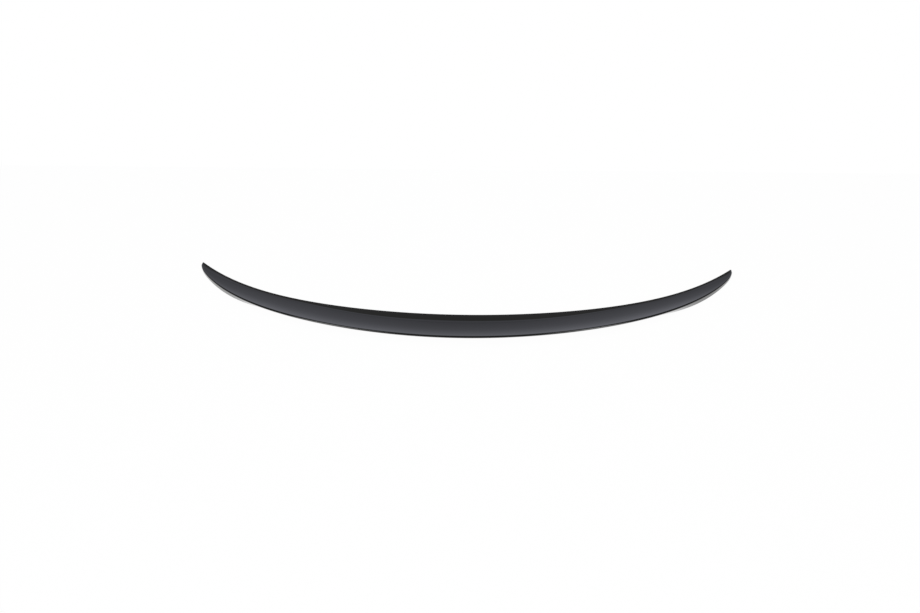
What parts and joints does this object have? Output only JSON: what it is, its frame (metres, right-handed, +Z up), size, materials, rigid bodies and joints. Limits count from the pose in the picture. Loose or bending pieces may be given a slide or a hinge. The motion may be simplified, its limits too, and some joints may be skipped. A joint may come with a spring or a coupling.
{
  "type": "car rear lip spoiler",
  "caption": "Bowed gloss black lip spoiler for a car's boot lid, with a flat front flange, a hollow-ground top face, an undercut rear lip, a ribbed hollow underside and mounting tape.",
  "frame": {"origin": "middle of the front tape's lower face, on the surface that the spoiler is stuck to", "axes": "+X along the span to the car's right, +Y towards the front of the car, +Z up from the boot lid"},
  "size_m": [1.15, 0.213, 0.0222],
  "materials": {
    "gloss_black": "gloss black moulded plastic, satin where the underside is left as moulded",
    "foam_tape": "matte dark grey double-sided foam tape"
  },
  "bodies": {
    "root": {"spoiler_body": "gloss_black", "front_tape": "foam_tape", "rear_tape": "foam_tape"}
  },
  "joints": []
}
